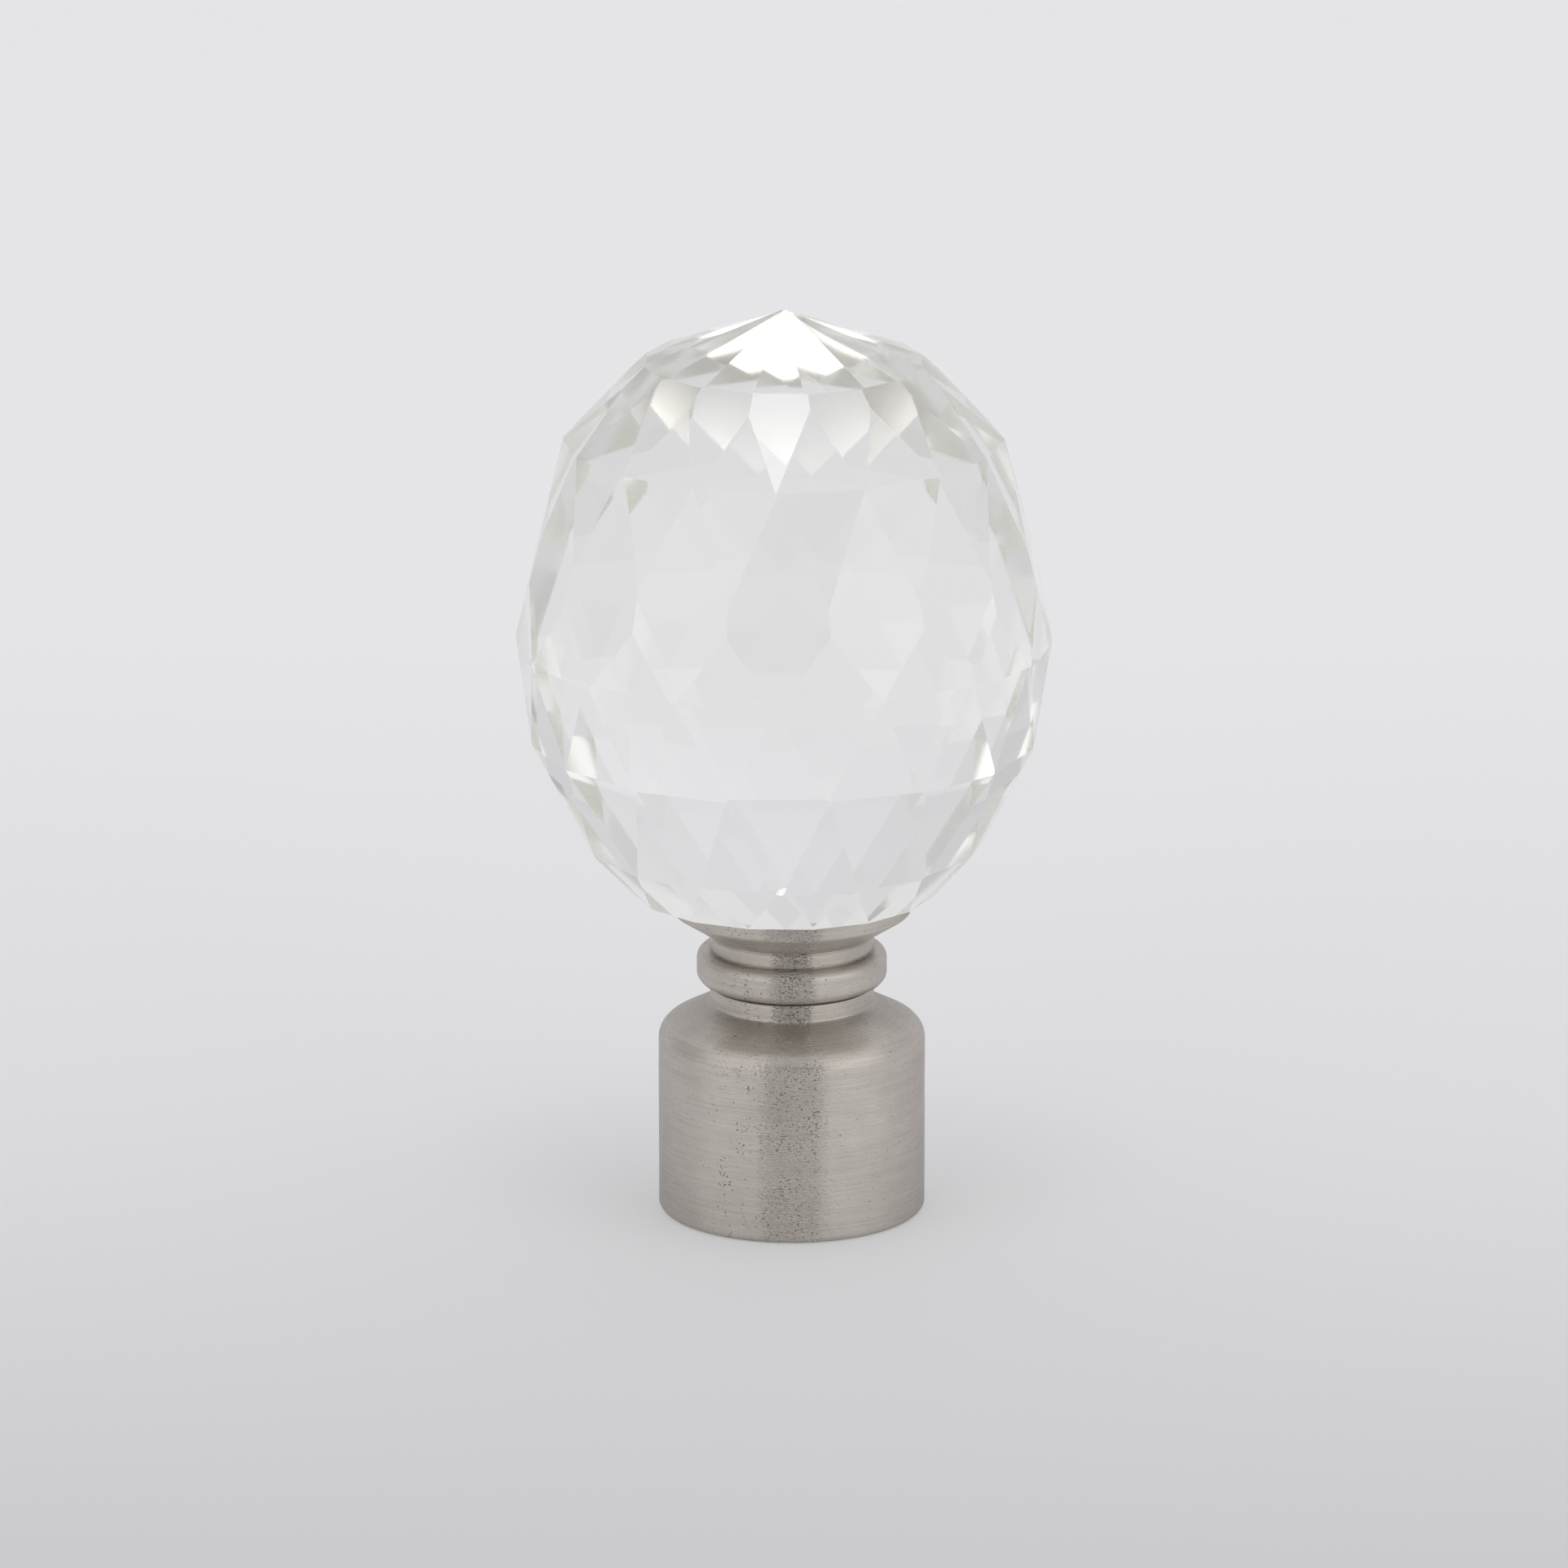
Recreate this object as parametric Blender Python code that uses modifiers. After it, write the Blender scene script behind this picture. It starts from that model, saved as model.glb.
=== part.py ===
"""Curtain rod finial: a facet-cut ball of clear crystal, glued onto the seat of a brushed nickel collar.

Metres, +Z up. The origin is under the ball's centre, on the plane of the collar's underside.
The collar is one turned casting and the ball is one solid of glass.
"""
import math

import bmesh
import bpy

MM = 0.001

# The socket that slides over the rod's end
SOCKET_RADIUS = 15.0 * MM
SOCKET_HEIGHT = 21.2 * MM       # where the shoulder's slope would meet the socket's side
SOCKET_FOOT_ROUND = 0.75 * MM
SHOULDER_ROUND = 2.4 * MM
SHOULDER_SLOPE = math.radians(27.0)
ROD_DIAMETER = 25.4 * MM
ROD_CLEARANCE = 0.3 * MM        # all round the rod
BORE_DEPTH = 20.0 * MM
BORE_CHAMFER = 0.3 * MM

# The neck, with a ring around it
NECK_RADIUS = 9.23 * MM
LOWER_NECK_LENGTH = 2.0 * MM
UPPER_NECK_LENGTH = 1.9 * MM
RING_RADIUS = 10.69 * MM
RING_THICKNESS = 4.1 * MM
RING_TOP_ROUND = 1.1 * MM
RING_BOTTOM_ROUND = 0.9 * MM
INNER_CORNER_ROUND = 0.3 * MM

# The seat under the ball: the neck flares out to an upright rim with a flat top
SEAT_RADIUS = 13.5 * MM
SEAT_FLARE_SLOPE = math.radians(32.5)
SEAT_RIM_HEIGHT = 2.2 * MM
SEAT_LOWER_ROUND = 0.6 * MM
SEAT_UPPER_ROUND = 0.2 * MM

# The ball, and how it stands on the seat
BALL_RADIUS = 30.0 * MM
BALL_BASE_RADIUS = 17.4 * MM    # to the corners of its flat base, wider than the seat
COLLAR_OFFSET = 0.9 * MM        # the ball is glued a little off the collar's axis, which is to its right
SEAT_GAP = 0.3 * MM             # filled by the glue
FACETS_AROUND = 16

# The rings where the facets meet: reach and rise above the flat base, as shares of the ball's radius.
# A line is a ring on the upright edges between the facets that join the rings above and below it.
APEX_SHARE = 2.220
CROWN_RING = (0.523, 2.027)
CROWN_LINE_SHARE = 1.980
SHOULDER_RING = (0.820, 1.730)
UPPER_LINE_SHARE = 1.337
LOWER_LINE_SHARE = 1.210
EQUATOR_RING = (1.000, 0.963)
LOWER_RING = (0.950, 0.593)
BASKET_RING = (0.750, 0.187)

TURNED_STEPS = 56
ARC_STEP = math.radians(18.0)
COPLANAR_ANGLE = math.radians(0.4)
SMOOTH_ANGLE = math.radians(30.0)
MERGE_DISTANCE = 0.00001

# Sizes worked out from those above
BORE_RADIUS = ROD_DIAMETER / 2 + ROD_CLEARANCE
HALF_STEP = math.pi / FACETS_AROUND
SHOULDER_TOP = SOCKET_HEIGHT + (SOCKET_RADIUS - NECK_RADIUS) * math.tan(SHOULDER_SLOPE)
RING_BOTTOM = SHOULDER_TOP + LOWER_NECK_LENGTH
RING_TOP = RING_BOTTOM + RING_THICKNESS
SEAT_BOTTOM = RING_TOP + UPPER_NECK_LENGTH
SEAT_RIM_BOTTOM = SEAT_BOTTOM + (SEAT_RADIUS - NECK_RADIUS) * math.tan(SEAT_FLARE_SLOPE)
SEAT_TOP = SEAT_RIM_BOTTOM + SEAT_RIM_HEIGHT
BALL_BASE = SEAT_TOP + SEAT_GAP


def clear_scene():
    for old in list(bpy.data.objects):
        bpy.data.objects.remove(old, do_unlink=True)


def new_collection(name):
    collection = bpy.data.collections.new(name)
    bpy.context.scene.collection.children.link(collection)
    return collection


def new_object(name, mesh, material, collection):
    mesh.materials.append(material)
    piece = bpy.data.objects.new(name, mesh)
    collection.objects.link(piece)
    return piece


def principled(name, color, roughness, metallic=0.0, transmission=0.0, ior=1.5):
    material = bpy.data.materials.new(name)
    material.use_nodes = True
    shader = material.node_tree.nodes["Principled BSDF"]
    shader.inputs["Base Color"].default_value = (*color, 1.0)
    shader.inputs["Roughness"].default_value = roughness
    shader.inputs["Metallic"].default_value = metallic
    shader.inputs["Transmission Weight"].default_value = transmission
    shader.inputs["IOR"].default_value = ior
    material.diffuse_color = (*color, 1.0)
    return material


def rounded_corner(before, corner, after, radius):
    """Points of the arc that rounds one corner of an outline in the X-Z plane."""
    to_before = (before[0] - corner[0], before[1] - corner[1])
    to_after = (after[0] - corner[0], after[1] - corner[1])
    angle_before = math.atan2(to_before[1], to_before[0])
    angle_after = math.atan2(to_after[1], to_after[0])
    opening = (angle_after - angle_before + math.pi) % (2 * math.pi) - math.pi
    half = abs(opening) / 2
    reach = radius / math.sin(half)
    middle = angle_before + opening / 2
    centre = (corner[0] + reach * math.cos(middle), corner[1] + reach * math.sin(middle))
    sweep = math.copysign(math.pi - 2 * half, -opening)
    start = middle + math.pi - sweep / 2
    count = max(1, math.ceil(abs(sweep) / ARC_STEP))
    turns = [start + sweep * i / count for i in range(count + 1)]
    return [(centre[0] + radius * math.cos(a), centre[1] + radius * math.sin(a)) for a in turns]


def rounded_outline(corners):
    """Outline through corners of (x, z, rounding radius). The first and last corners stay sharp."""
    points = [corners[0][:2]]
    for before, corner, after in zip(corners, corners[1:], corners[2:]):
        if corner[2] > 0:
            points += rounded_corner(before, corner, after, corner[2])
        else:
            points.append(corner[:2])
    points.append(corners[-1][:2])
    return points


def collar_corners():
    """The collar's half section: across the seat, down the outer side and up the bore."""
    return [
        (0.0, SEAT_TOP, 0.0),
        (SEAT_RADIUS, SEAT_TOP, SEAT_UPPER_ROUND),
        (SEAT_RADIUS, SEAT_RIM_BOTTOM, SEAT_LOWER_ROUND),
        (NECK_RADIUS, SEAT_BOTTOM, INNER_CORNER_ROUND),
        (NECK_RADIUS, RING_TOP, INNER_CORNER_ROUND),
        (RING_RADIUS, RING_TOP, RING_TOP_ROUND),
        (RING_RADIUS, RING_BOTTOM, RING_BOTTOM_ROUND),
        (NECK_RADIUS, RING_BOTTOM, INNER_CORNER_ROUND),
        (NECK_RADIUS, SHOULDER_TOP, INNER_CORNER_ROUND),
        (SOCKET_RADIUS, SOCKET_HEIGHT, SHOULDER_ROUND),
        (SOCKET_RADIUS, 0.0, SOCKET_FOOT_ROUND),
        (BORE_RADIUS + BORE_CHAMFER, 0.0, 0.0),
        (BORE_RADIUS, BORE_CHAMFER, 0.0),
        (BORE_RADIUS, BORE_DEPTH, 0.0),
        (0.0, BORE_DEPTH, 0.0),
    ]


def make_collar(collection, material):
    outline = rounded_outline(collar_corners())
    mesh = bpy.data.meshes.new("metal_collar")
    edges = [(i, i + 1) for i in range(len(outline) - 1)]
    mesh.from_pydata([(x, 0.0, z) for x, z in outline], edges, [])
    collar = new_object("metal_collar", mesh, material, collection)
    screw = collar.modifiers.new("turned", "SCREW")
    screw.axis = "Z"
    screw.angle = 2 * math.pi
    screw.steps = TURNED_STEPS
    screw.render_steps = TURNED_STEPS
    screw.use_merge_vertices = True
    screw.merge_threshold = MERGE_DISTANCE
    bpy.context.view_layer.update()
    turned = bpy.data.meshes.new_from_object(collar.evaluated_get(bpy.context.evaluated_depsgraph_get()))
    collar.modifiers.clear()
    collar.data = turned
    collar.location = (COLLAR_OFFSET, 0.0, 0.0)
    turned.name = "metal_collar"
    turned.shade_smooth()
    turned.set_sharp_from_angle(angle=SMOOTH_ANGLE)
    return collar


def ring_points(reach, rise, between):
    """One point for each facet around, straight ahead of the facets or halfway between them."""
    turn = HALF_STEP if between else 0.0
    points = []
    for i in range(FACETS_AROUND):
        angle = turn + 2 * HALF_STEP * i
        points.append((reach * math.sin(angle), -reach * math.cos(angle), rise))
    return points


def edge_reach(upper, lower, rise):
    """How far out two neighbouring facets meet, for facets that fall from one (reach, rise) to another."""
    share = (rise - upper[1]) / (lower[1] - upper[1])
    return (upper[0] + (lower[0] - upper[0]) * share) / math.cos(HALF_STEP)


def ball_points():
    """The corners of the cut ball above the centre of its flat base, in metres."""
    crown_facet = (CROWN_RING[0] * math.cos(HALF_STEP), CROWN_RING[1])
    crown_line = edge_reach(crown_facet, SHOULDER_RING, CROWN_LINE_SHARE)
    upper_line = edge_reach(SHOULDER_RING, EQUATOR_RING, UPPER_LINE_SHARE)
    lower_line = edge_reach(SHOULDER_RING, EQUATOR_RING, LOWER_LINE_SHARE)
    points = [(0.0, 0.0, APEX_SHARE)]
    points += ring_points(*CROWN_RING, between=True)
    points += ring_points(crown_line, CROWN_LINE_SHARE, between=True)
    points += ring_points(*SHOULDER_RING, between=False)
    points += ring_points(upper_line, UPPER_LINE_SHARE, between=True)
    points += ring_points(lower_line, LOWER_LINE_SHARE, between=True)
    points += ring_points(*EQUATOR_RING, between=False)
    points += ring_points(*LOWER_RING, between=True)
    points += ring_points(*BASKET_RING, between=False)
    points += ring_points(BALL_BASE_RADIUS / BALL_RADIUS, 0.0, between=True)
    return [tuple(BALL_RADIUS * value for value in point) for point in points]


def make_ball(collection, material):
    """The flat facets are the faces of the hull around the rings' corners."""
    bm = bmesh.new()
    for point in ball_points():
        bm.verts.new(point)
    bmesh.ops.convex_hull(bm, input=bm.verts[:])
    loose = [vert for vert in bm.verts if not vert.link_faces]
    bmesh.ops.delete(bm, geom=loose, context="VERTS")
    bmesh.ops.dissolve_limit(bm, angle_limit=COPLANAR_ANGLE, verts=bm.verts[:], edges=bm.edges[:])
    bmesh.ops.recalc_face_normals(bm, faces=bm.faces[:])
    mesh = bpy.data.meshes.new("crystal_ball")
    bm.to_mesh(mesh)
    bm.free()
    ball = new_object("crystal_ball", mesh, material, collection)
    ball.location = (0.0, 0.0, BALL_BASE)
    return ball


def main():
    clear_scene()
    collection = new_collection("curtain_rod_finial")
    nickel = principled("brushed_nickel", (0.48, 0.45, 0.42), roughness=0.32, metallic=1.0)
    crystal = principled("clear_crystal", (0.97, 0.98, 0.97), roughness=0.0, transmission=1.0, ior=1.52)
    make_collar(collection, nickel)
    make_ball(collection, crystal)


main()
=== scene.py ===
"""Looks of the curtain rod finial: a hand-cut clear crystal ball on a brushed nickel collar.

Metres, +Z up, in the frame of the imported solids. Both pieces are made again from their solids:
the ball is cut facet by facet along the solid's planes, and the collar is turned from its outline.
"""
import math
import random

import bmesh
import bpy
import numpy as np
from mathutils import Matrix, Vector


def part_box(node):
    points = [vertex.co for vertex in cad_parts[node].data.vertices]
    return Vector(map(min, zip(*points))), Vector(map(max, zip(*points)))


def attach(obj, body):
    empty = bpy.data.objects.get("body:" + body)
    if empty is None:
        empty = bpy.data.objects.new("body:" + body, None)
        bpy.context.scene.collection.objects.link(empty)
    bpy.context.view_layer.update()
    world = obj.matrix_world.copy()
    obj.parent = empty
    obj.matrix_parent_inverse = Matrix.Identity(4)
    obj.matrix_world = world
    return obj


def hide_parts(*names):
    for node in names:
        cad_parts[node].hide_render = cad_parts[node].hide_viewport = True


MM = 0.001
PHOTO_SIZE = 1932

# The photograph's camera, fitted to the round foot and the ball
CAMERA_DISTANCE = 1260.0 * MM
CAMERA_HEIGHT = 410.6 * MM
CAMERA_SIDE = -0.88 * MM
CAMERA_PITCH = math.radians(16.0)
CAMERA_TURN = math.radians(1.4)
CAMERA_FOCAL_PIXELS = 14430.0
CAMERA_CLIP = 50.0 * MM
SENSOR_WIDTH = 36.0

# The glass: its tint and how much it absorbs in a metre, and a polish that is faintly soft
CRYSTAL_TINT = (0.72, 0.77, 0.38, 1.0)
CRYSTAL_DENSITY = 0.60
CRYSTAL_IOR = 1.52
CRYSTAL_ROUGHNESS = 0.07

# How unevenly the facets are cut. The least extra depth is a share of the spread.
FACET_SEED = 17
FACET_DEPTH_SPREAD = 0.10 * MM
FACET_DEPTH_LEAST = 0.3
FACET_TILT_SPREAD = math.radians(0.11)

# The blank's side, as a share of the solid's diagonal, and how close corners are still one corner
BLANK_SHARE = 1.2
CUT_MARGIN = 0.0001 * MM
FACET_WELD = 0.004 * MM

# The solid's faces whose planes are this close are one facet, and the base is the one facing down
SAME_FACING = 0.99999
SAME_DISTANCE = 0.02 * MM
BASE_FACING = -0.999

# The patch of the ball's base that the clear glue joins to the seat
GLUE_RADIUS = 14.4 * MM
GLUE_WAVE = 0.3 * MM
GLUE_STEPS = 96

# The collar's half section in millimetres, from the seat down the outer side and up the bore:
# (radius, height, rounding). The sizes are the solid's, apart from the narrow grooves beside the
# ring and under the seat's flare, and the ring's rounder underside.
COLLAR_CORNERS = [
    (0.0, 37.060, 0.0),
    (13.5, 37.060, 0.22),
    (13.5, 34.860, 0.60),
    (9.34, 32.210, 0.03),
    (9.05, 32.080, 0.05),
    (9.23, 31.880, 0.05),
    (9.23, 30.440, 0.05),
    (8.95, 30.320, 0.04),
    (9.23, 30.240, 0.02),
    (10.69, 30.240, 1.10),
    (10.69, 26.450, 1.20),
    (8.75, 26.450, 0.04),
    (8.75, 26.180, 0.05),
    (9.23, 26.060, 0.05),
    (9.23, 24.140, 0.10),
    (15.0, 21.200, 2.40),
    (15.0, 0.0, 0.75),
    (13.3, 0.0, 0.06),
    (13.0, 0.3, 0.06),
    (13.0, 20.0, 0.15),
    (0.0, 20.0, 0.0),
]

# How finely the collar is turned: close rows on the outer side, far apart where they are hidden
TURNED_STEPS = 400
ROW_HEIGHT = 0.30 * MM
ARC_ROW = 0.22 * MM
ARC_STEP = math.radians(8.0)
HIDDEN_ROW_HEIGHT = 2.0 * MM
LONGEST_OUTER = 22.0 * MM

# Where the outer skin lies, and where the bore and the axis do. Relief stays a margin away from the bore.
SKIN_RADIUS = 9.0 * MM
SKIN_BOTTOM = 0.02 * MM
SKIN_TOP = 36.9 * MM
BORE_SIDE = 13.1 * MM
BORE_TOP = 20.1 * MM
BORE_MARGIN_SIDE = 13.4 * MM
BORE_MARGIN_TOP = 20.2 * MM
UPRIGHT = 0.01 * MM
NEAR_AXIS = 1.0 * MM

# Patches of casting pits: (middle, spread) in degrees to the right of the front, and how many
PIT_PATCHES = (
    (2.0, 9.0, 260),
    (14.0, 3.0, 60),
    (-25.0, 12.0, 50),
    (40.0, 25.0, 40),
    (95.0, 30.0, 70),
    (170.0, 25.0, 160),
    (-120.0, 40.0, 90),
)

# Where down the outline pits start, and one pit's half width and depth in millimetres, how much
# taller than wide it is, the share that are dents, and how high the other grains stand for their depth
PIT_SEED = 5
PIT_START = 13.5 * MM
PIT_HALF_WIDTH = (0.28, 0.48)
PIT_DEPTH = (0.015, 0.055)
PIT_STRETCH = (0.6, 1.3)
DENT_SHARE = 0.55
GRAIN_HEIGHT = 0.8

# Burrs on the flare and a dent on the shoulder: (degrees to the right of the front, then in
# millimetres: how far down the outline, half width, how far out)
BURRS = (
    (88.0, 18.85, 0.42, 0.34),
    (87.0, 17.35, 0.38, 0.24),
    (84.0, 16.60, 0.45, 0.12),
    (-24.0, 37.50, 0.60, -0.16),
)

# The slow waves of the casting: how many, how often they repeat around, how steeply they climb
WAVE_SEED = 9
WAVE_DEPTH = 0.030 * MM
WAVE_COUNT = 26
WAVE_TURNS = (5, 46)
WAVE_CLIMB = (-1.3, 1.3)

# The nickel's plating, the dark colour of its specks and of its painted shade, and the seat's top
METAL_DARK = (0.630, 0.583, 0.530)
METAL_LIGHT = (0.738, 0.687, 0.630)
EDGE_TINT = (0.70, 0.70, 0.70, 1.0)
SPECK_AND_PAINTED_SHADE_COLOR = (0.12, 0.10, 0.078, 1.0)
SEAT_DARK = (0.78, 0.765, 0.74)
SEAT_LIGHT = (0.84, 0.825, 0.80)

# Worn places on the collar: degrees to the right, then how far away they fade out and are full
FRONT_STRIP = (1.5, 16.0, 10.0)
BACK_STRIP = (176.0, 30.0, 14.0)
BACK_STRIP_SHARE = 0.75
LEFT_CHAINS = (-24.0, 15.0, 7.0)
RIGHT_CHAINS = (100.0, 20.0, 8.0)

# The sloping shoulder's zone, which is less worn and holds painted shade: the heights where it fades in and
# out
SHOULDER_START = (20.4 * MM, 21.6 * MM)
SHOULDER_END = (23.8 * MM, 24.3 * MM)

# Painted shade on the shoulder and in the grooves, by radius from the most to none, and the height where the
# darkening towards the foot ends
SHOULDER_PAINTED_SHADE_RADII = (9.3 * MM, 14.2 * MM)
GROOVE_PAINTED_SHADE_RADII = (8.8 * MM, 9.15 * MM)
FOOT_DARKENING_HEIGHT = 12.0 * MM

# The studio's walls: radiances by half of (1 + cosine) of the turn from the dark room's middle
ROOM_TURN = math.radians(3.5)
WALLS = (
    (0.00, (0.778, 0.778, 0.802)),
    (0.08, (0.768, 0.768, 0.790)),
    (0.22, (0.600, 0.600, 0.620)),
    (0.40, (0.540, 0.540, 0.555)),
    (0.52, (0.700, 0.700, 0.710)),
    (0.66, (1.050, 1.050, 1.050)),
    (0.963, (1.220, 1.220, 1.220)),
    (0.973, (0.110, 0.110, 0.110)),
)
RIGHT_EXCESS = 0.10
CEILING = (0.80, 0.80, 0.81, 1.0)
CEILING_RISE = (0.45, 0.75)

# The walls' brightness by height: (upward share of the direction, share of the radiance)
WALL_HEIGHTS = ((0.0, 1.0), (0.14, 1.0), (0.33, 0.885), (0.55, 0.885), (0.75, 1.0))

# The softbox overhead: width, depth, height, how far back, and how bright
TOP_BOX = (0.36, 0.30, 1.1)
TOP_BOX_BACK = -0.28
TOP_RADIANCE = 3.4

# Painted light: the paper's glow from the front of the floor to far behind the object, dimmer at the front
# as painted shade: (distance back, glow)
FLOOR_SIZE = 12.0
PAPER_COLOR = (0.45, 0.45, 0.455, 1.0)
PAPER_PAINTED_GLOW = ((-0.16, 0.175), (-0.02, 0.29), (0.03, 0.33), (0.25, 0.405), (1.5, 0.428), (4.0, 0.443))
PAPER_BLUE = 1.025

BOUNCES = 64

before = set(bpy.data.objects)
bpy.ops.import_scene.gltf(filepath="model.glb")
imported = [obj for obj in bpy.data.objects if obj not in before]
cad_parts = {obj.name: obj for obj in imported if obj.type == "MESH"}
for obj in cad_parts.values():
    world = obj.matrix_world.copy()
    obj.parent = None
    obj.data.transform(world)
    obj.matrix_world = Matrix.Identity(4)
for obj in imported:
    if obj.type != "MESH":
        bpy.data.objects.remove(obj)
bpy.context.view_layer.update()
rng = random.Random(FACET_SEED)


def link(piece):
    bpy.context.scene.collection.objects.link(piece)
    return piece


def finish_piece(mesh, name, materials, node, place=(0.0, 0.0, 0.0)):
    for material in materials:
        mesh.materials.append(material)
    piece = link(bpy.data.objects.new(name, mesh))
    piece.location = place
    bpy.context.view_layer.update()
    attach(piece, "root")
    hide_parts(node)


class Nodes:
    """Short calls for building the nodes of one material or of the world."""

    def __init__(self, holder):
        holder.use_nodes = True
        self.holder = holder
        self.tree = holder.node_tree
        self.shader = self.tree.nodes.get("Principled BSDF") or self.tree.nodes["Background"]

    def add(self, kind, **settings):
        node = self.tree.nodes.new(kind)
        for key, value in settings.items():
            setattr(node, key, value)
        return node

    def feed(self, source, socket):
        """Links a socket to the source, or sets it where the source is a number or a colour."""
        if isinstance(source, bpy.types.NodeSocket):
            self.tree.links.new(source, socket)
        else:
            socket.default_value = source

    def shade(self, **sockets):
        """Feeds the shader's own sockets, named with _ for a space."""
        for key, source in sockets.items():
            self.feed(source, self.shader.inputs[key.replace("_", " ")])

    def split(self, vector):
        node = self.add("ShaderNodeSeparateXYZ")
        self.feed(vector, node.inputs[0])
        return node.outputs

    def math(self, operation, *operands):
        node = self.add("ShaderNodeMath", operation=operation)
        for socket, source in zip(node.inputs, operands):
            self.feed(source, socket)
        return node.outputs[0]

    def vector_math(self, operation, *operands):
        node = self.add("ShaderNodeVectorMath", operation=operation)
        for socket, source in zip(node.inputs, operands):
            self.feed(source, socket)
        return node.outputs["Value" if operation == "DOT_PRODUCT" else "Vector"]

    def noise(self, vector, scale, detail=2.0, roughness=0.5):
        node = self.add("ShaderNodeTexNoise")
        self.feed(vector, node.inputs["Vector"])
        self.feed(scale, node.inputs["Scale"])
        self.feed(detail, node.inputs["Detail"])
        self.feed(roughness, node.inputs["Roughness"])
        return node.outputs["Fac"]

    def spread(self, source, low, high, from_low=0.0, from_high=1.0, interpolation="LINEAR"):
        """Maps the source from one range onto another, and no further."""
        node = self.add("ShaderNodeMapRange", interpolation_type=interpolation)
        self.feed(source, node.inputs["Value"])
        self.feed(from_low, node.inputs["From Min"])
        self.feed(from_high, node.inputs["From Max"])
        self.feed(low, node.inputs["To Min"])
        self.feed(high, node.inputs["To Max"])
        return node.outputs["Result"]

    def ramp(self, source, stops):
        """A colour by the source, from stops of (position, colour)."""
        node = self.add("ShaderNodeValToRGB")
        elements = node.color_ramp.elements
        while len(elements) < len(stops):
            elements.new(0.5)
        for element, (position, color) in zip(elements, stops):
            element.position = position
            element.color = (*color, 1.0)
        self.feed(source, node.inputs["Fac"])
        return node.outputs["Color"]

    def mix(self, factor, first, second, blend="MIX"):
        node = self.add("ShaderNodeMix", data_type="RGBA", blend_type=blend)
        self.feed(factor, node.inputs["Factor"])
        self.feed(first, node.inputs[6])
        self.feed(second, node.inputs[7])
        return node.outputs[2]

    def bump(self, height, distance, strength, normal=None):
        node = self.add("ShaderNodeBump")
        self.feed(height, node.inputs["Height"])
        self.feed(distance, node.inputs["Distance"])
        self.feed(strength, node.inputs["Strength"])
        if normal is not None:
            self.feed(normal, node.inputs["Normal"])
        return node.outputs["Normal"]


def crystal_material():
    """Clear crystal with a faint green-grey body colour and a polish that softens long reflections."""
    nodes = Nodes(bpy.data.materials.new("cut_crystal"))
    nodes.shade(Base_Color=(1.0, 1.0, 1.0, 1.0), Roughness=CRYSTAL_ROUGHNESS, IOR=CRYSTAL_IOR,
                Transmission_Weight=1.0)
    body = nodes.add("ShaderNodeVolumeAbsorption")
    body.inputs["Color"].default_value = CRYSTAL_TINT
    body.inputs["Density"].default_value = CRYSTAL_DENSITY
    nodes.feed(body.outputs[0], nodes.tree.nodes["Material Output"].inputs["Volume"])
    return nodes.holder


class TurnedNodes(Nodes):
    """Nodes of a material on a turned part, with its angle, radius and height as coordinates."""

    def __init__(self, holder):
        super().__init__(holder)
        self.position = self.add("ShaderNodeTexCoord").outputs["Object"]
        x, y, self.height = self.split(self.position)
        self.angle = self.math("ARCTAN2", x, self.math("MULTIPLY", y, -1.0))
        squared = self.math("ADD", self.math("MULTIPLY", x, x), self.math("MULTIPLY", y, y))
        self.radius = self.math("SQRT", squared)

    def scaled(self, across, up):
        return self.vector_math("MULTIPLY", self.position, (across, across, up))

    def along_turning(self, stretch):
        """Coordinates that change fast upwards and outwards and slowly round the part, as brushing does."""
        x, y, up = self.split(self.scaled(stretch, 1.0))
        combine = self.add("ShaderNodeCombineXYZ")
        self.feed(self.math("ADD", x, self.radius), combine.inputs[0])
        self.feed(y, combine.inputs[1])
        self.feed(up, combine.inputs[2])
        return combine.outputs[0]

    def around(self, degrees, faint, full):
        """1 near that side of the part, falling to 0 that many degrees away."""
        nearness = self.math("COSINE", self.math("ADD", self.angle, -math.radians(degrees)))
        return self.spread(nearness, 0.0, 1.0, math.cos(math.radians(faint)), math.cos(math.radians(full)))


def shoulder_zone(nodes):
    """1 on the sloping shoulder, which is less worn than the rest."""
    below_end = nodes.spread(nodes.height, 1.0, 0.0, *SHOULDER_END)
    return nodes.math("MULTIPLY", below_end, nodes.spread(nodes.height, 0.0, 1.0, *SHOULDER_START))


def worn_strips(nodes, shoulder):
    """1 in the upright strips down the front and the back, where the plating is worn."""
    back = nodes.math("MULTIPLY", nodes.around(*BACK_STRIP), BACK_STRIP_SHARE)
    strips = nodes.math("MAXIMUM", nodes.around(*FRONT_STRIP), back)
    return nodes.math("MULTIPLY", strips, nodes.spread(shoulder, 1.0, 0.15))


def flat_dashes(nodes, strips):
    """High at short flat dashes: a few of them everywhere, and most in the worn strips."""
    patches = nodes.spread(nodes.noise(nodes.position, 300.0), -0.085, 0.045, 0.3, 0.7)
    dashes = nodes.math("ADD", nodes.noise(nodes.scaled(1.0, 2.1), 3300.0, 1.5), patches)
    return nodes.math("ADD", dashes, nodes.math("MULTIPLY", strips, 0.118))


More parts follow.
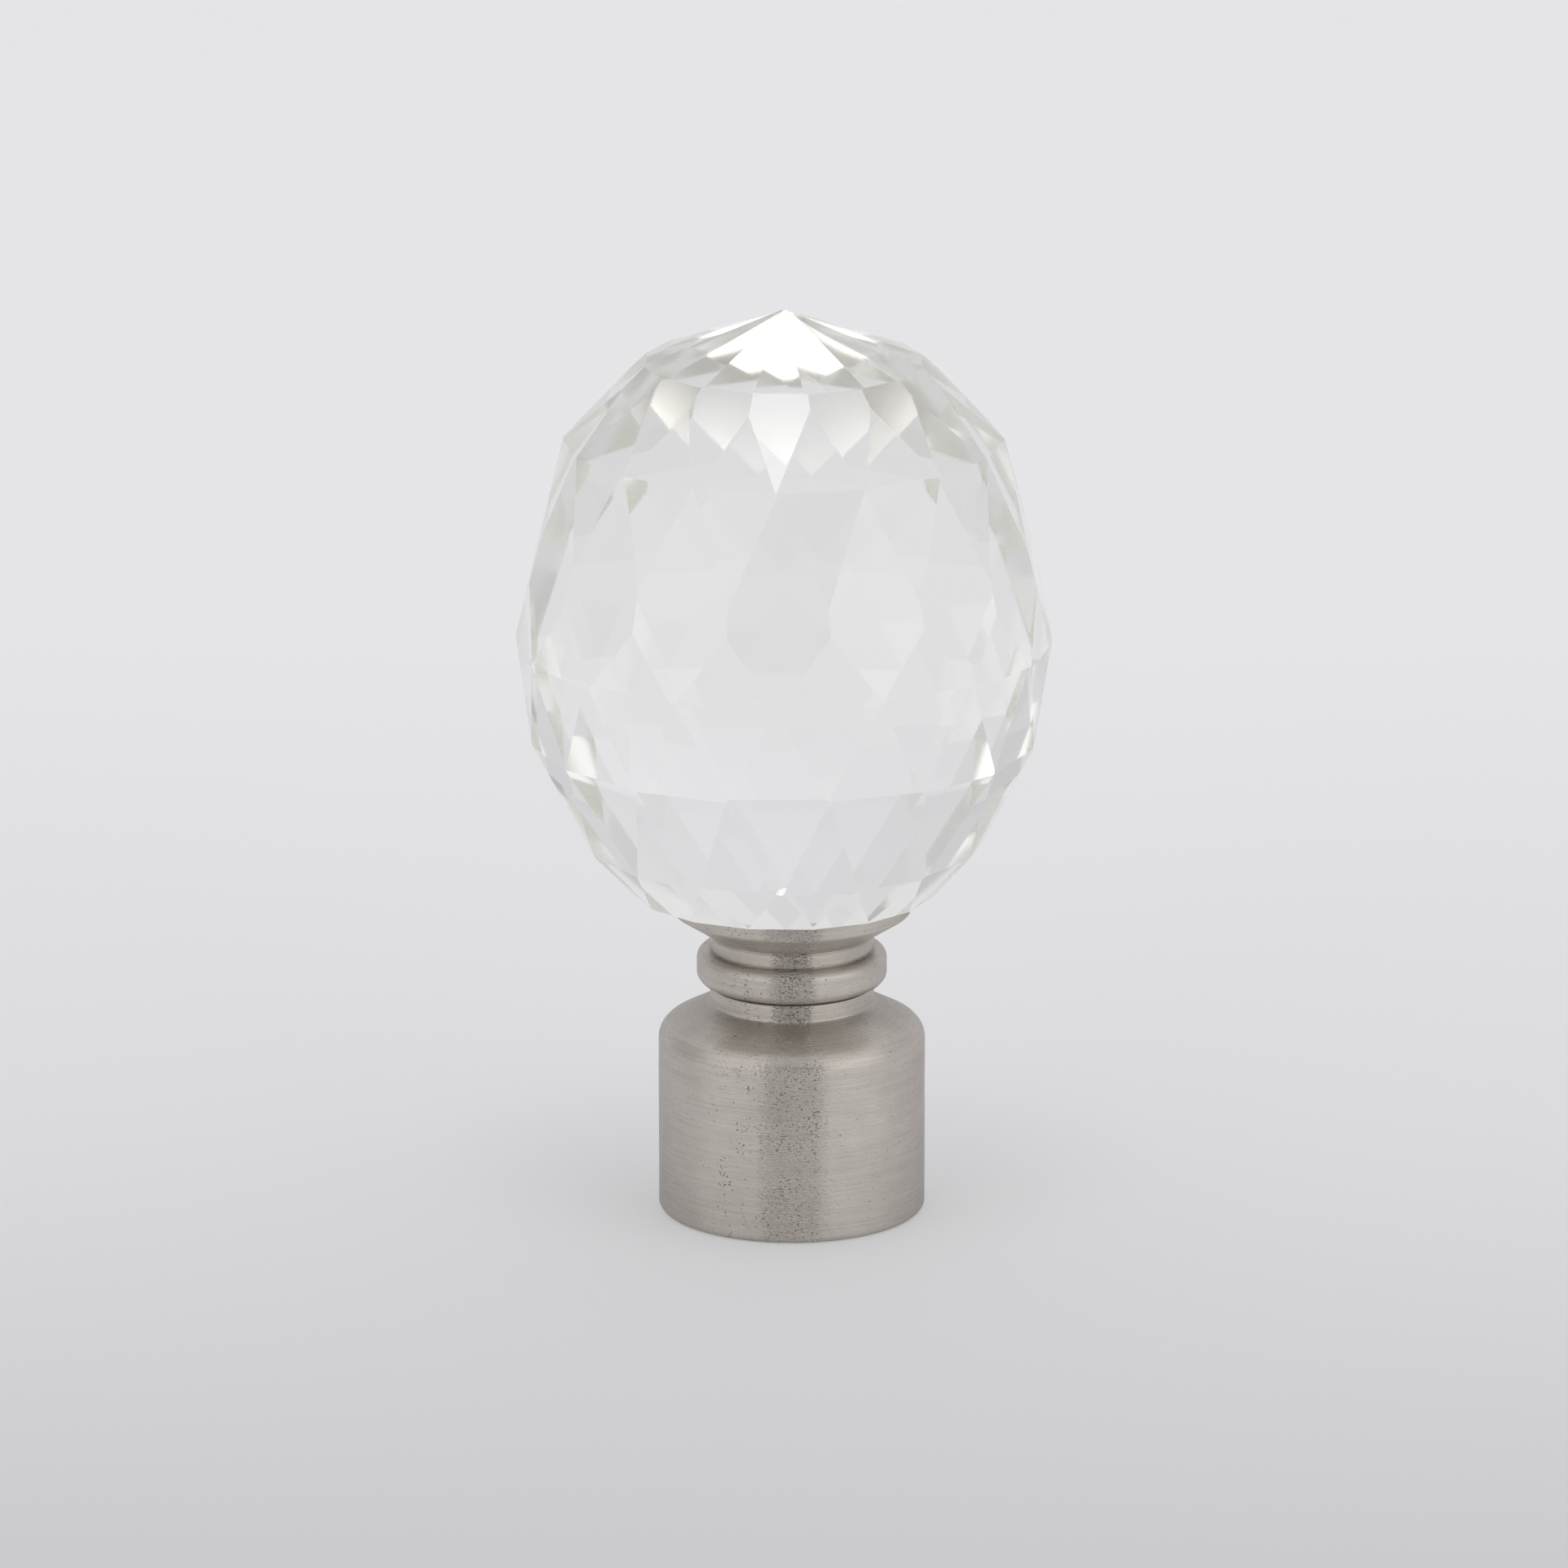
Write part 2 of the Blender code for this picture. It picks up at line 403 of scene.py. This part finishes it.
def dark_specks(nodes, dashes):
    """Dark where the dashes are highest, and at dots that gather in upright chains left and right."""
    chain_zone = nodes.math("MAXIMUM", nodes.around(*LEFT_CHAINS), nodes.around(*RIGHT_CHAINS))
    chains = nodes.spread(nodes.noise(nodes.scaled(1.0, 0.22), 1100.0, 1.0), 0.0, 0.11, 0.52, 0.62)
    dots = nodes.noise(nodes.scaled(1.0, 0.8), 4300.0, 1.0)
    dots = nodes.math("ADD", dots, nodes.math("MULTIPLY", chains, chain_zone))
    dark_dots = nodes.spread(dots, 0.0, 0.85, 0.735, 0.770)
    return nodes.math("MAXIMUM", nodes.spread(dashes, 0.0, 0.80, 0.722, 0.775), dark_dots)


def painted_shade_and_foot_darkening(nodes, shoulder):
    """Painted shade in the narrow grooves and on the upper shoulder, and a darkening towards the foot."""
    # Painted shade: darker in the narrow grooves and on the upper shoulder next to the neck
    shoulder_painted_shade = nodes.spread(nodes.radius, 0.34, 0.0, *SHOULDER_PAINTED_SHADE_RADII)
    groove_painted_shade = nodes.spread(nodes.radius, 0.55, 0.0, *GROOVE_PAINTED_SHADE_RADII)
    darkening = nodes.math("MAXIMUM", groove_painted_shade, nodes.math("MULTIPLY", shoulder_painted_shade, shoulder))
    # Darker towards the foot, fading out a set height above it
    return nodes.math("ADD", darkening, nodes.spread(nodes.height, 0.15, 0.0, 0.0, FOOT_DARKENING_HEIGHT))


def streaked_plating(nodes, lines, clouds):
    """Warm grey plating in soft clouds, darkened by fine streaks round the part."""
    bands = nodes.noise(nodes.along_turning(0.010), 5200.0, 3.0, 0.6)
    fine_streaks = nodes.spread(lines, 0.84, 1.0, 0.30, 0.60)
    streaks = nodes.math("MULTIPLY", fine_streaks, nodes.spread(bands, 0.92, 1.0, 0.35, 0.60))
    tint = nodes.ramp(clouds, ((0.3, METAL_DARK), (0.7, METAL_LIGHT)))
    return nodes.mix(1.0, tint, streaks, "MULTIPLY")


def nickel_material():
    """Brushed warm grey nickel: turning lines, cloudy plating, fine dark casting specks and painted shade.
    """
    nodes = TurnedNodes(bpy.data.materials.new("brushed_nickel"))
    lines = nodes.noise(nodes.along_turning(0.016), 11000.0, 5.0, 0.7)
    broad_lines = nodes.noise(nodes.along_turning(0.022), 2600.0, 3.0, 0.6)
    clouds = nodes.noise(nodes.position, 150.0, 5.0, 0.6)
    shoulder = shoulder_zone(nodes)
    strips = worn_strips(nodes, shoulder)
    dashes = flat_dashes(nodes, strips)
    # Dark specks together with the painted shade of the grooves and shoulder and the darkening towards the
    # foot
    darkening = nodes.math("MAXIMUM", dark_specks(nodes, dashes), painted_shade_and_foot_darkening(nodes, shoulder))
    rough = nodes.math("ADD", nodes.spread(broad_lines, 0.22, 0.36), nodes.spread(clouds, -0.04, 0.04))
    fine = nodes.bump(lines, 0.011 * MM, 1.0)
    broad = nodes.bump(broad_lines, 0.016 * MM, 0.8, fine)
    dents = nodes.spread(dashes, 0.0, -1.0, 0.54, 0.76)
    dents = nodes.math("MULTIPLY", dents, nodes.spread(strips, 0.25, 1.0))
    tangent = nodes.add("ShaderNodeTangent", direction_type="RADIAL", axis="Z")
    # The plating is darkened towards the dark colour by the specks and the painted shade
    nodes.shade(Base_Color=nodes.mix(darkening, streaked_plating(nodes, lines, clouds), SPECK_AND_PAINTED_SHADE_COLOR), Metallic=1.0,
                Roughness=rough, Anisotropic=1.0, Anisotropic_Rotation=0.25, Tangent=tangent.outputs[0],
                Specular_Tint=EDGE_TINT, Normal=nodes.bump(dents, 0.09 * MM, 1.0, broad))
    return nodes.holder


def seat_material(name):
    """The flat top of the seat, brighter and less worn under the clear glue."""
    nodes = Nodes(bpy.data.materials.new(name))
    clouds = nodes.noise(nodes.add("ShaderNodeTexCoord").outputs["Object"], 300.0, 3.0)
    color = nodes.ramp(clouds, ((0.3, SEAT_DARK), (0.7, SEAT_LIGHT)))
    nodes.shade(Base_Color=color, Metallic=1.0, Roughness=nodes.spread(clouds, 0.34, 0.42))
    return nodes.holder


def collar_axis():
    low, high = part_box("metal_collar")
    return Vector(((low.x + high.x) / 2, (low.y + high.y) / 2, 0.0))


def facet_planes(node):
    """The planes (normal, distance) of a solid with flat sides, each once."""
    planes = []
    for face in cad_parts[node].data.polygons:
        normal = Vector(face.normal)
        distance = normal.dot(face.center)
        if not any(normal.dot(n) > SAME_FACING and abs(distance - d) < SAME_DISTANCE for n, d in planes):
            planes.append((normal, distance))
    return planes


def glue_base(bm, height):
    """Sets a disc in the ball's flat base, where the glue joins it to the metal and shows the seat."""
    base = min(bm.faces, key=lambda face: face.calc_center_median().z)
    outer = base.edges[:]
    bmesh.ops.delete(bm, geom=[base], context="FACES_ONLY")
    middle = collar_axis()
    ring = []
    for i in range(GLUE_STEPS):
        turn = 2 * math.pi * i / GLUE_STEPS
        reach = GLUE_RADIUS + GLUE_WAVE * (math.sin(3 * turn + 1.0) + math.sin(7 * turn + 2.0)) / 2
        ring.append(bm.verts.new((middle.x + reach * math.cos(turn), reach * math.sin(turn), height)))
    inner = [bm.edges.new((a, b)) for a, b in zip(ring, ring[1:] + ring[:1])]
    disc = bm.faces.new(ring)
    disc.material_index = 1
    bmesh.ops.triangle_fill(bm, use_beauty=True, edges=outer + inner)


def cut_ball(node):
    """Cuts the ball again from a blank, each facet a little deeper and a little askew."""
    low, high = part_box(node)
    centre = (low + high) / 2
    bm = bmesh.new()
    bmesh.ops.create_cube(bm, size=BLANK_SHARE * (high - low).length, matrix=Matrix.Translation(centre))
    for normal, distance in sorted(facet_planes(node), key=lambda plane: (round(plane[0].z, 3), plane[0].x)):
        point = normal * distance
        if normal.z > BASE_FACING:
            point = centre + normal * (distance - normal.dot(centre))
            tilt = Vector((rng.gauss(0, 1), rng.gauss(0, 1), rng.gauss(0, 1))) * FACET_TILT_SPREAD
            normal = (normal + tilt).normalized()
            point -= normal * FACET_DEPTH_SPREAD * (FACET_DEPTH_LEAST + rng.random())
        geometry = bm.verts[:] + bm.edges[:] + bm.faces[:]
        cut = bmesh.ops.bisect_plane(
            bm, geom=geometry, dist=CUT_MARGIN, plane_co=point, plane_no=normal, clear_outer=True
        )
        rim = [item for item in cut["geom_cut"] if isinstance(item, bmesh.types.BMEdge)]
        if len(rim) > 2:
            bmesh.ops.contextual_create(bm, geom=rim)
    bmesh.ops.remove_doubles(bm, verts=bm.verts[:], dist=FACET_WELD)
    glue_base(bm, low.z)
    bmesh.ops.recalc_face_normals(bm, faces=bm.faces[:])
    mesh = bpy.data.meshes.new("cut_crystal_ball")
    bm.to_mesh(mesh)
    bm.free()
    materials = (crystal_material(), seat_material("seat_through_glue"))
    finish_piece(mesh, "cut_crystal_ball", materials, node)


def rounded_corner(before, corner, after, radius):
    """Points of the arc that rounds one corner of the outline."""
    to_before = (before - corner) / np.linalg.norm(before - corner)
    to_after = (after - corner) / np.linalg.norm(after - corner)
    half = math.acos(float(to_before @ to_after)) / 2
    middle = (to_before + to_after) / np.linalg.norm(to_before + to_after)
    centre = corner + middle * radius / math.sin(half)
    start = corner + to_before * radius / math.tan(half)
    end = corner + to_after * radius / math.tan(half)
    first = math.atan2(*(start - centre)[::-1])
    sweep = math.atan2(*(end - centre)[::-1]) - first
    sweep = (sweep + math.pi) % (2 * math.pi) - math.pi
    count = max(2, min(math.ceil(abs(sweep) / ARC_STEP), math.ceil(abs(sweep) * radius / ARC_ROW)))
    turns = [first + sweep * i / count for i in range(count + 1)]
    return [centre + radius * np.array((math.cos(a), math.sin(a))) for a in turns]


def rounded_outline(corners):
    places = [np.array(corner[:2]) * MM for corner in corners]
    points = [places[0]]
    for i in range(1, len(corners) - 1):
        points += rounded_corner(places[i - 1], places[i], places[i + 1], corners[i][2] * MM)
    points.append(places[-1])
    return points


def rows_along(outline):
    """Points along the outline: close together on the outer side, far apart on the seat and in the bore."""
    points = [outline[0]]
    for start, end in zip(outline, outline[1:]):
        length = np.linalg.norm(end - start)
        outer = start[0] > SKIN_RADIUS and length < LONGEST_OUTER
        upright = abs(start[0] - end[0]) < UPRIGHT
        in_bore = upright and start[0] < BORE_SIDE and start[1] < BORE_TOP
        hidden = in_bore or min(start[0], end[0]) < NEAR_AXIS
        spacing = HIDDEN_ROW_HEIGHT if hidden or not outer else ROW_HEIGHT
        count = max(1, math.ceil(length / spacing))
        points += [start + (end - start) * i / count for i in range(1, count + 1)]
    return np.array(points)


def section_normals(rows):
    """The outward direction of the skin at each row, in the plane of the half section."""
    along = np.gradient(rows, axis=0)
    along /= np.linalg.norm(along, axis=1)[:, None]
    return np.stack([-along[:, 1], along[:, 0]], -1)


def on_outer_skin(rows):
    """Which rows are on the side that shows, and not on the seat, the foot's face or the bore."""
    radius, height = rows.T
    outer = (radius > SKIN_RADIUS) & (height > SKIN_BOTTOM) & (height < SKIN_TOP)
    return outer & ~((radius < BORE_MARGIN_SIDE) & (height < BORE_MARGIN_TOP))


def press(field, rows, along, angles, angle, place, width, stretch, depth):
    """Presses a round dent into the field, or raises a grain where the depth is negative."""
    near = np.nonzero(np.abs(along - place) < width * stretch)[0]
    if not len(near):
        return
    reach = np.maximum(rows[near, 0], NEAR_AXIS)
    turn = (angles - angle + math.pi) % (2 * math.pi) - math.pi
    beside = np.nonzero(np.abs(turn) < width / reach.min())[0]
    across = turn[beside][None, :] * reach[:, None] / width
    down = ((along[near] - place) / (width * stretch))[:, None]
    weight = np.clip(1.0 - across ** 2 - down ** 2, 0.0, 1.0) ** 2
    field[np.ix_(near, beside)] -= weight * depth


def casting_pits(rows, angles):
    """How far each point of the turned skin stands out: dents, grains and burrs left by the casting."""
    steps = np.linalg.norm(np.diff(rows, axis=0), axis=1)
    along = np.concatenate([[0.0], np.cumsum(steps)])
    field = np.zeros((len(rows), len(angles)))
    pits = np.random.default_rng(PIT_SEED)
    for middle, spread, count in PIT_PATCHES:
        for _ in range(count):
            angle = math.radians(middle) + pits.normal() * math.radians(spread)
            place = pits.uniform(PIT_START, along[-1])
            width = pits.uniform(*PIT_HALF_WIDTH) * MM
            depth = pits.uniform(*PIT_DEPTH) * MM * (1.0 if pits.random() < DENT_SHARE else -GRAIN_HEIGHT)
            press(field, rows, along, angles, angle, place, width, pits.uniform(*PIT_STRETCH), depth)
    for degrees, place, width, out in BURRS:
        press(field, rows, along, angles, math.radians(degrees), place * MM, width * MM, 1.0, -out * MM)
    return field


def casting_waves(rows, angles):
    """Slow unevenness of the casting under the brushing."""
    waves = np.random.default_rng(WAVE_SEED)
    field = np.zeros((len(rows), len(angles)))
    height = rows[:, 1][:, None] / MM
    for _ in range(WAVE_COUNT):
        turns = waves.integers(*WAVE_TURNS)
        climb = waves.uniform(*WAVE_CLIMB)
        phase = waves.uniform(0, 2 * math.pi)
        field += np.sin(turns * angles[None, :] + climb * height + phase) / turns
    return field * WAVE_DEPTH


def turned_faces(rows, top, bottom):
    """Quads between the rows all the way round, and fans to the points on the axis at both ends."""
    faces = []
    last = (rows - 1) * TURNED_STEPS
    for i in range(TURNED_STEPS):
        j = (i + 1) % TURNED_STEPS
        for start in range(0, last, TURNED_STEPS):
            below = start + TURNED_STEPS
            faces.append((start + i, below + i, below + j, start + j))
        faces.append((top, i, j))
        faces.append((bottom, last + j, last + i))
    return faces


def turn_collar(node):
    """Turns the collar's outline, with the casting's relief on its outer skin."""
    outline = rounded_outline(COLLAR_CORNERS)
    rows = rows_along(outline)[1:-1]
    angles = np.arange(TURNED_STEPS) * 2 * math.pi / TURNED_STEPS
    normal = section_normals(rows)
    relief = (casting_pits(rows, angles) + casting_waves(rows, angles)) * on_outer_skin(rows)[:, None]
    radius = rows[:, 0][:, None] + relief * normal[:, 0][:, None]
    height = np.maximum(rows[:, 1][:, None] + relief * normal[:, 1][:, None], 0.0)
    x = radius * np.sin(angles)[None, :]
    y = -radius * np.cos(angles)[None, :]
    verts = [tuple(v) for v in np.stack([x, y, height], -1).reshape(-1, 3)]
    top, bottom = len(verts), len(verts) + 1
    verts += [(0.0, 0.0, float(outline[0][1])), (0.0, 0.0, float(outline[-1][1]))]
    mesh = bpy.data.meshes.new("turned_collar")
    mesh.from_pydata(verts, [], turned_faces(len(rows), top, bottom))
    mesh.shade_smooth()
    for face in mesh.polygons:
        if face.center.z > outline[0][1] - UPRIGHT:
            face.material_index = 1
    materials = (nickel_material(), seat_material("glued_seat"))
    finish_piece(mesh, "turned_collar", materials, node, collar_axis())


def stage_material():
    """Pale paper with a painted glow: softer shadows, painted shade at the front, and a far edge as bright
    as the walls.
    """
    nodes = Nodes(bpy.data.materials.new("pale_paper"))
    front, back = PAPER_PAINTED_GLOW[0][0], PAPER_PAINTED_GLOW[-1][0]
    distance = nodes.split(nodes.add("ShaderNodeTexCoord").outputs["Object"])[1]
    stops = [((y - front) / (back - front), (glow, glow, glow * PAPER_BLUE)) for y, glow in PAPER_PAINTED_GLOW]
    # Painted light: the floor's glow, dimmer at the front as painted shade
    glow = nodes.ramp(nodes.spread(distance, 0.0, 1.0, front, back), stops)
    nodes.shade(Base_Color=PAPER_COLOR, Roughness=0.9, Specular_IOR_Level=0.2,
                Emission_Color=glow, Emission_Strength=1.0)
    return nodes.holder


def make_stage():
    """A pale paper floor that runs out level, as bright at its far edge as the walls behind it."""
    mesh = bpy.data.meshes.new("floor")
    half = FLOOR_SIZE / 2
    corners = [(-half, -half, 0), (half, -half, 0), (half, half, 0), (-half, half, 0)]
    mesh.from_pydata(corners, [], [(0, 1, 2, 3)])
    mesh.materials.append(stage_material())
    link(bpy.data.objects.new("floor", mesh))


def make_softbox():
    """One flat lamp over the object, a little towards the photographer, that shines straight down."""
    width, depth, height = TOP_BOX
    data = bpy.data.lights.new("top_softbox", "AREA")
    data.shape = "RECTANGLE"
    data.size = width
    data.size_y = depth
    data.energy = TOP_RADIANCE * math.pi * width * depth
    lamp = link(bpy.data.objects.new("top_softbox", data))
    lamp.location = (0.0, TOP_BOX_BACK, height)


def make_world():
    """Pale studio walls all round, with the darker room in a strip on the photographer's side."""
    world = bpy.data.worlds.new("studio")
    bpy.context.scene.world = world
    nodes = Nodes(world)
    direction = nodes.add("ShaderNodeTexCoord").outputs["Generated"]
    level = nodes.vector_math("NORMALIZE", nodes.vector_math("MULTIPLY", direction, (1.0, 1.0, 0.0)))
    room = (math.sin(ROOM_TURN), -math.cos(ROOM_TURN), 0.0)
    towards_room = nodes.vector_math("DOT_PRODUCT", level, room)
    walls = nodes.ramp(nodes.spread(towards_room, 0.0, 1.0, -1.0, 1.0), WALLS)
    right, _, up = nodes.split(direction)
    heights = nodes.ramp(up, [(rise, (share, share, share)) for rise, share in WALL_HEIGHTS])
    shaded = nodes.mix(1.0, walls, heights, "MULTIPLY")
    overhead = nodes.spread(up, 0.0, 1.0, *CEILING_RISE, interpolation="SMOOTHSTEP")
    strength = nodes.math("MULTIPLY_ADD", right, RIGHT_EXCESS, 1.0)
    nodes.shade(Color=nodes.mix(overhead, shaded, CEILING), Strength=strength)


def make_camera():
    data = bpy.data.cameras.new("photo_camera")
    data.sensor_width = SENSOR_WIDTH
    data.lens = SENSOR_WIDTH * CAMERA_FOCAL_PIXELS / PHOTO_SIZE
    data.clip_start = CAMERA_CLIP
    camera = link(bpy.data.objects.new("photo_camera", data))
    turn = Matrix.Rotation(CAMERA_TURN, 4, "Z")
    place = Matrix.Translation((CAMERA_SIDE, -CAMERA_DISTANCE, CAMERA_HEIGHT))
    axis = Matrix.Translation(collar_axis())
    tilt = Matrix.Rotation(math.pi / 2 - CAMERA_PITCH, 4, "X")
    camera.matrix_world = axis @ turn @ place @ tilt
    bpy.context.scene.camera = camera


def set_look():
    scene = bpy.context.scene
    scene.view_settings.view_transform = "Standard"
    scene.cycles.max_bounces = BOUNCES
    scene.cycles.glossy_bounces = BOUNCES
    scene.cycles.transmission_bounces = BOUNCES


make_camera()
cut_ball("crystal_ball")
turn_collar("metal_collar")
make_stage()
make_world()
make_softbox()
set_look()
